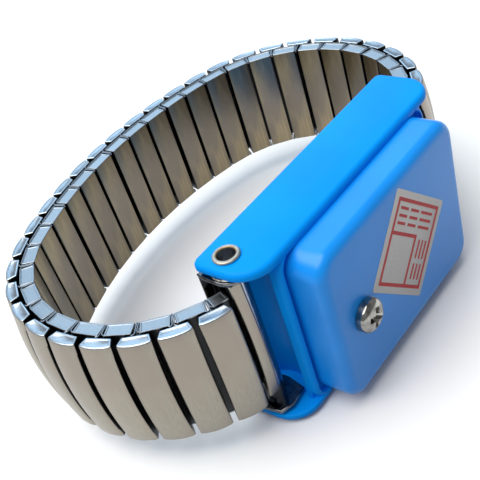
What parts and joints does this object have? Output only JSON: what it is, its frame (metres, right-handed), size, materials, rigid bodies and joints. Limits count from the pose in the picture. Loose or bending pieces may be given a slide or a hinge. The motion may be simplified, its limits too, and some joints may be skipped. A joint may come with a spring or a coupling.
{
  "type": "ESD wrist strap",
  "caption": "Cordless anti-static wrist strap: moulded box with discharge screw, closed by a stretching steel link band.",
  "frame": {"origin": "on the flat wrist face of the box, midway between the two hinge pins and at mid height of the box", "axes": "+X along the box from the left to the right hinge pin, +Y from the box across the wrist to the far side of the band, +Z along the wrist axis"},
  "size_m": [0.0775, 0.0583, 0.0278],
  "materials": {
    "blue_plastic": "satin",
    "link_steel": "satin",
    "chromed_steel": "polished",
    "pin_steel": "satin",
    "screw_steel": "polished",
    "brass": "satin",
    "bronze_strip": "satin",
    "tinned_strip": "satin",
    "resistor_lacquer": "satin",
    "label_film": "satin"
  },
  "bodies": {
    "housing": {"housing_base": "blue_plastic", "housing_cover": "blue_plastic", "threaded_insert": "brass", "discharge_screw": "screw_steel", "solder_lug": "tinned_strip", "resistor_body": "resistor_lacquer", "resistor_leads": "tinned_strip", "contact_strip": "bronze_strip", "face_label": "label_film", "left_hinge_pin": "pin_steel", "right_hinge_pin": "pin_steel"},
    "left_arm": {"left_bracket": "chromed_steel", "left_end_link": "link_steel"},
    "right_arm": {"right_bracket": "chromed_steel", "right_end_link": "link_steel"},
    "link_01": {"link_pair_01": "link_steel"},
    "link_02": {"link_pair_02": "link_steel"},
    "outer_03": {"outer_link_03": "link_steel"},
    "inner_03": {"inner_link_03": "link_steel"},
    "link_04": {"link_pair_04": "link_steel"},
    "link_05": {"link_pair_05": "link_steel"},
    "outer_06": {"outer_link_06": "link_steel"},
    "inner_06": {"inner_link_06": "link_steel"},
    "link_07": {"link_pair_07": "link_steel"},
    "link_08": {"link_pair_08": "link_steel"},
    "outer_09": {"outer_link_09": "link_steel"},
    "inner_09": {"inner_link_09": "link_steel"},
    "link_10": {"link_pair_10": "link_steel"},
    "link_11": {"link_pair_11": "link_steel"},
    "outer_12": {"outer_link_12": "link_steel"},
    "inner_12": {"inner_link_12": "link_steel"},
    "link_13": {"link_pair_13": "link_steel"},
    "link_14": {"link_pair_14": "link_steel"},
    "outer_15": {"outer_link_15": "link_steel"},
    "inner_15": {"inner_link_15": "link_steel"},
    "link_16": {"link_pair_16": "link_steel"},
    "link_17": {"link_pair_17": "link_steel"},
    "outer_18": {"outer_link_18": "link_steel"},
    "inner_18": {"inner_link_18": "link_steel"},
    "link_19": {"link_pair_19": "link_steel"},
    "link_20": {"link_pair_20": "link_steel"},
    "outer_21": {"outer_link_21": "link_steel"},
    "inner_21": {"inner_link_21": "link_steel"},
    "link_22": {"link_pair_22": "link_steel"},
    "link_23": {"link_pair_23": "link_steel"},
    "outer_24": {"outer_link_24": "link_steel"},
    "inner_24": {"inner_link_24": "link_steel"},
    "link_25": {"link_pair_25": "link_steel"},
    "link_26": {"link_pair_26": "link_steel"},
    "outer_27": {"outer_link_27": "link_steel"},
    "inner_27": {"inner_link_27": "link_steel"},
    "link_28": {"link_pair_28": "link_steel"},
    "link_29": {"link_pair_29": "link_steel"},
    "outer_30": {"outer_link_30": "link_steel"},
    "inner_30": {"inner_link_30": "link_steel"},
    "link_31": {"link_pair_31": "link_steel"}
  },
  "joints": [
    {"name": "band_flex", "type": "hinge", "parent": "housing", "child": "left_arm", "pos_m": [-0.0195, -0.0038, 0], "axis": [0, 0, 1], "range_deg": [-5, 5]},
    {"name": "right_arm_turn", "type": "hinge", "parent": "housing", "child": "right_arm", "pos_m": [0.0195, -0.0038, 0], "axis": [0, 0, 1], "range_deg": [-4.89, 4.89]},
    {"name": "band_stretch", "type": "slide", "parent": "left_arm", "child": "link_01", "axis": [-0.9058, 0.4238, 0], "range_m": [0, 0.00119]},
    {"name": "slide_02", "type": "slide", "parent": "link_01", "child": "link_02", "axis": [-0.7817, 0.6237, 0], "range_m": [0, 0.00115]},
    {"name": "slide_03", "type": "slide", "parent": "link_02", "child": "outer_03", "axis": [-0.6143, 0.7891, 0], "range_m": [0, 0.00109]},
    {"name": "bend_03", "type": "hinge", "parent": "outer_03", "child": "inner_03", "pos_m": [-0.03232, 0.00276, 0], "axis": [0, 0, 1], "range_deg": [-1.79, 1.79]},
    {"name": "slide_04", "type": "slide", "parent": "inner_03", "child": "link_04", "axis": [-0.4129, 0.9108, 0], "range_m": [0, 0.00101]},
    {"name": "slide_05", "type": "slide", "parent": "link_04", "child": "link_05", "axis": [-0.1887, 0.982, 0], "range_m": [0, 0.0009265]},
    {"name": "slide_06", "type": "slide", "parent": "link_05", "child": "outer_06", "axis": [0.046, 0.9989, 0], "range_m": [0, 0.0008351]},
    {"name": "bend_06", "type": "hinge", "parent": "outer_06", "child": "inner_06", "pos_m": [-0.03562, 0.01703, 0], "axis": [0, 0, 1], "range_deg": [-3.56, 3.56]},
    {"name": "slide_07", "type": "slide", "parent": "inner_06", "child": "link_07", "axis": [0.2782, 0.9605, 0], "range_m": [0, 0.0007433]},
    {"name": "slide_08", "type": "slide", "parent": "link_07", "child": "link_08", "axis": [0.4949, 0.8689, 0], "range_m": [0, 0.0006563]},
    {"name": "slide_09", "type": "slide", "parent": "link_08", "child": "outer_09", "axis": [0.6843, 0.7292, 0], "range_m": [0, 0.0005788]},
    {"name": "bend_09", "type": "hinge", "parent": "outer_09", "child": "inner_09", "pos_m": [-0.02886, 0.03002, 0], "axis": [0, 0, 1], "range_deg": [-3.66, 3.66]},
    {"name": "slide_10", "type": "slide", "parent": "inner_09", "child": "link_10", "axis": [0.8357, 0.5492, 0], "range_m": [0, 0.0005152]},
    {"name": "slide_11", "type": "slide", "parent": "link_10", "child": "link_11", "axis": [0.9171, 0.3986, 0], "range_m": [0, 0.0004798]},
    {"name": "slide_12", "type": "slide", "parent": "link_11", "child": "outer_12", "axis": [0.9443, 0.3292, 0], "range_m": [0, 0.0004675]},
    {"name": "bend_12", "type": "hinge", "parent": "outer_12", "child": "inner_12", "pos_m": [-0.01597, 0.03651, 0], "axis": [0, 0, 1], "range_deg": [-0.3394, 0.3394]},
    {"name": "slide_13", "type": "slide", "parent": "inner_12", "child": "link_13", "axis": [0.9662, 0.258, 0], "range_m": [0, 0.0004572]},
    {"name": "slide_14", "type": "slide", "parent": "link_13", "child": "link_14", "axis": [0.9827, 0.1853, 0], "range_m": [0, 0.000449]},
    {"name": "slide_15", "type": "slide", "parent": "link_14", "child": "outer_15", "axis": [0.9938, 0.1116, 0], "range_m": [0, 0.0004429]},
    {"name": "bend_15", "type": "hinge", "parent": "outer_15", "child": "inner_15", "pos_m": [-0.00206, 0.0393, 0], "axis": [0, 0, 1], "range_deg": [-4.69, 4.69]},
    {"name": "slide_16", "type": "slide", "parent": "inner_15", "child": "link_16", "axis": [0.9993, 0.0372, 0], "range_m": [0, 0.0004389]},
    {"name": "slide_32", "type": "slide", "parent": "right_arm", "child": "link_31", "axis": [0.9665, 0.2566, 0], "range_m": [0, 0.0012]},
    {"name": "slide_31", "type": "slide", "parent": "link_31", "child": "inner_30", "axis": [0.8852, 0.4652, 0], "range_m": [0, 0.00116]},
    {"name": "bend_30", "type": "hinge", "parent": "inner_30", "child": "outer_30", "pos_m": [0.02857, -0.00227, 0], "axis": [0, 0, 1], "range_deg": [-1.93, 1.93]},
    {"name": "slide_30", "type": "slide", "parent": "outer_30", "child": "link_29", "axis": [0.7595, 0.6505, 0], "range_m": [0, 0.00111]},
    {"name": "slide_29", "type": "slide", "parent": "link_29", "child": "link_28", "axis": [0.5957, 0.8032, 0], "range_m": [0, 0.00104]},
    {"name": "slide_28", "type": "slide", "parent": "link_28", "child": "inner_27", "axis": [0.402, 0.9156, 0], "range_m": [0, 0.0009643]},
    {"name": "bend_27", "type": "hinge", "parent": "inner_27", "child": "outer_27", "pos_m": [0.03686, 0.00978, 0], "axis": [0, 0, 1], "range_deg": [-3.72, 3.72]},
    {"name": "slide_27", "type": "slide", "parent": "outer_27", "child": "link_26", "axis": [0.1882, 0.9821, 0], "range_m": [0, 0.000879]},
    {"name": "slide_26", "type": "slide", "parent": "link_26", "child": "link_25", "axis": [-0.035, 0.9994, 0], "range_m": [0, 0.0007912]},
    {"name": "slide_25", "type": "slide", "parent": "link_25", "child": "inner_24", "axis": [-0.2565, 0.9665, 0], "range_m": [0, 0.0007053]},
    {"name": "bend_24", "type": "hinge", "parent": "inner_24", "child": "outer_24", "pos_m": [0.03582, 0.02436, 0], "axis": [0, 0, 1], "range_deg": [-3.8, 3.8]},
    {"name": "slide_24", "type": "slide", "parent": "outer_24", "child": "link_23", "axis": [-0.4652, 0.8852, 0], "range_m": [0, 0.0006257]},
    {"name": "slide_23", "type": "slide", "parent": "link_23", "child": "link_22", "axis": [-0.6505, 0.7595, 0], "range_m": [0, 0.0005562]},
    {"name": "slide_22", "type": "slide", "parent": "link_22", "child": "inner_21", "axis": [-0.8032, 0.5957, 0], "range_m": [0, 0.0005004]},
    {"name": "bend_21", "type": "hinge", "parent": "inner_21", "child": "outer_21", "pos_m": [0.02592, 0.03512, 0], "axis": [0, 0, 1], "range_deg": [-0.4485, 0.4485]},
    {"name": "slide_21", "type": "slide", "parent": "outer_21", "child": "link_20", "axis": [-0.9156, 0.4021, 0], "range_m": [0, 0.0004611]},
    {"name": "slide_20", "type": "slide", "parent": "link_20", "child": "link_19", "axis": [-0.9661, 0.258, 0], "range_m": [0, 0.0004448]},
    {"name": "slide_19", "type": "slide", "parent": "link_19", "child": "inner_18", "axis": [-0.9827, 0.1854, 0], "range_m": [0, 0.00044]},
    {"name": "bend_18", "type": "hinge", "parent": "inner_18", "child": "outer_18", "pos_m": [0.01211, 0.03893, 0], "axis": [0, 0, 1], "range_deg": [-4.66, 4.66]},
    {"name": "slide_18", "type": "slide", "parent": "outer_18", "child": "link_17", "axis": [-0.9937, 0.1116, 0], "range_m": [0, 0.0004375]}
  ],
  "couplings": [
    {"joint": "right_arm_turn", "follows": "band_flex", "ratio": -0.97812},
    {"joint": "slide_02", "follows": "band_stretch", "ratio": 0.96332},
    {"joint": "slide_03", "follows": "band_stretch", "ratio": 0.91175},
    {"joint": "bend_03", "follows": "band_flex", "ratio": -0.35733},
    {"joint": "slide_04", "follows": "band_stretch", "ratio": 0.84814},
    {"joint": "slide_05", "follows": "band_stretch", "ratio": 0.77601},
    {"joint": "slide_06", "follows": "band_stretch", "ratio": 0.69935},
    {"joint": "bend_06", "follows": "band_flex", "ratio": -0.71176},
    {"joint": "slide_07", "follows": "band_stretch", "ratio": 0.62242},
    {"joint": "slide_08", "follows": "band_stretch", "ratio": 0.54946},
    {"joint": "slide_09", "follows": "band_stretch", "ratio": 0.48452},
    {"joint": "bend_09", "follows": "band_flex", "ratio": -0.73115},
    {"joint": "slide_10", "follows": "band_stretch", "ratio": 0.43119},
    {"joint": "slide_11", "follows": "band_stretch", "ratio": 0.40144},
    {"joint": "slide_12", "follows": "band_stretch", "ratio": 0.39113},
    {"joint": "bend_12", "follows": "band_flex", "ratio": -0.067852},
    {"joint": "slide_13", "follows": "band_stretch", "ratio": 0.38251},
    {"joint": "slide_14", "follows": "band_stretch", "ratio": 0.37562},
    {"joint": "slide_15", "follows": "band_stretch", "ratio": 0.3705},
    {"joint": "bend_15", "follows": "band_flex", "ratio": 0.93849},
    {"joint": "slide_16", "follows": "band_stretch", "ratio": 0.36717},
    {"joint": "slide_32", "follows": "band_stretch", "ratio": 1.0062},
    {"joint": "slide_31", "follows": "band_stretch", "ratio": 0.97529},
    {"joint": "bend_30", "follows": "band_flex", "ratio": 0.38545},
    {"joint": "slide_30", "follows": "band_stretch", "ratio": 0.93031},
    {"joint": "slide_29", "follows": "band_stretch", "ratio": 0.87349},
    {"joint": "slide_28", "follows": "band_stretch", "ratio": 0.80768},
    {"joint": "bend_27", "follows": "band_flex", "ratio": 0.74372},
    {"joint": "slide_27", "follows": "band_stretch", "ratio": 0.73618},
    {"joint": "slide_26", "follows": "band_stretch", "ratio": 0.66259},
    {"joint": "slide_25", "follows": "band_stretch", "ratio": 0.59058},
    {"joint": "bend_24", "follows": "band_flex", "ratio": 0.76064},
    {"joint": "slide_24", "follows": "band_stretch", "ratio": 0.52377},
    {"joint": "slide_23", "follows": "band_stretch", "ratio": 0.46552},
    {"joint": "slide_22", "follows": "band_stretch", "ratio": 0.41873},
    {"joint": "bend_21", "follows": "band_flex", "ratio": 0.089681},
    {"joint": "slide_21", "follows": "band_stretch", "ratio": 0.38576},
    {"joint": "slide_20", "follows": "band_stretch", "ratio": 0.37209},
    {"joint": "slide_19", "follows": "band_stretch", "ratio": 0.36813},
    {"joint": "bend_18", "follows": "band_flex", "ratio": -0.93097},
    {"joint": "slide_18", "follows": "band_stretch", "ratio": 0.36599}
  ]
}
